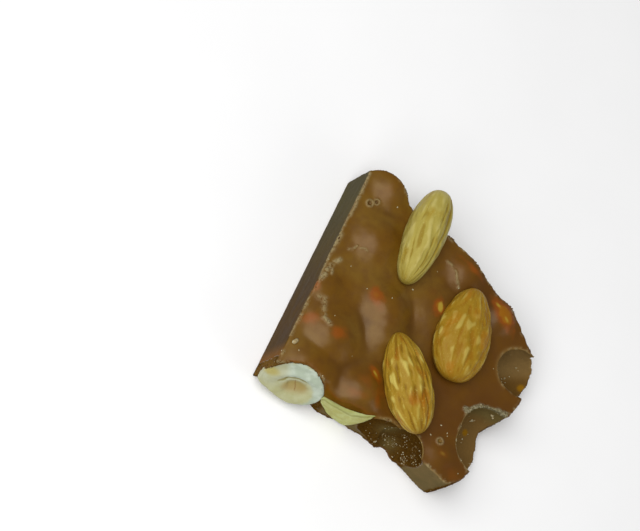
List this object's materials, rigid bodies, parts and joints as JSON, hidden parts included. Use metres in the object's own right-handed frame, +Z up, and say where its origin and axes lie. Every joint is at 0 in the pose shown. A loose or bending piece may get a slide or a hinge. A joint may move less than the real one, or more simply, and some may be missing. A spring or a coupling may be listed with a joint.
{
  "type": "nut chocolate shard",
  "caption": "Broken shard of thick milk chocolate with whole blanched almonds half sunk in its top, covered hazelnuts raising low bumps, and split hazelnuts showing in the break.",
  "frame": {"origin": "point on the flat underside, under the middle of the shard", "axes": "+Z up out of the underside; +X along the front break, away from the moulded edge; +Y back along the moulded edge"},
  "size_m": [0.0578, 0.0566, 0.0183],
  "materials": {
    "milk_chocolate": "smooth, softly glossy milk chocolate on the poured top, duller and grainy on the break",
    "almond_skin": "roasted blanched almond, golden tan with long shallow ridges",
    "hazelnut_flesh": "matt cream hazelnut flesh"
  },
  "bodies": {
    "root": {"chocolate": "milk_chocolate", "almond_back": "almond_skin", "almond_right": "almond_skin", "almond_front": "almond_skin", "hazelnut_half": "hazelnut_flesh", "hazelnut_sliver": "hazelnut_flesh"}
  },
  "joints": []
}
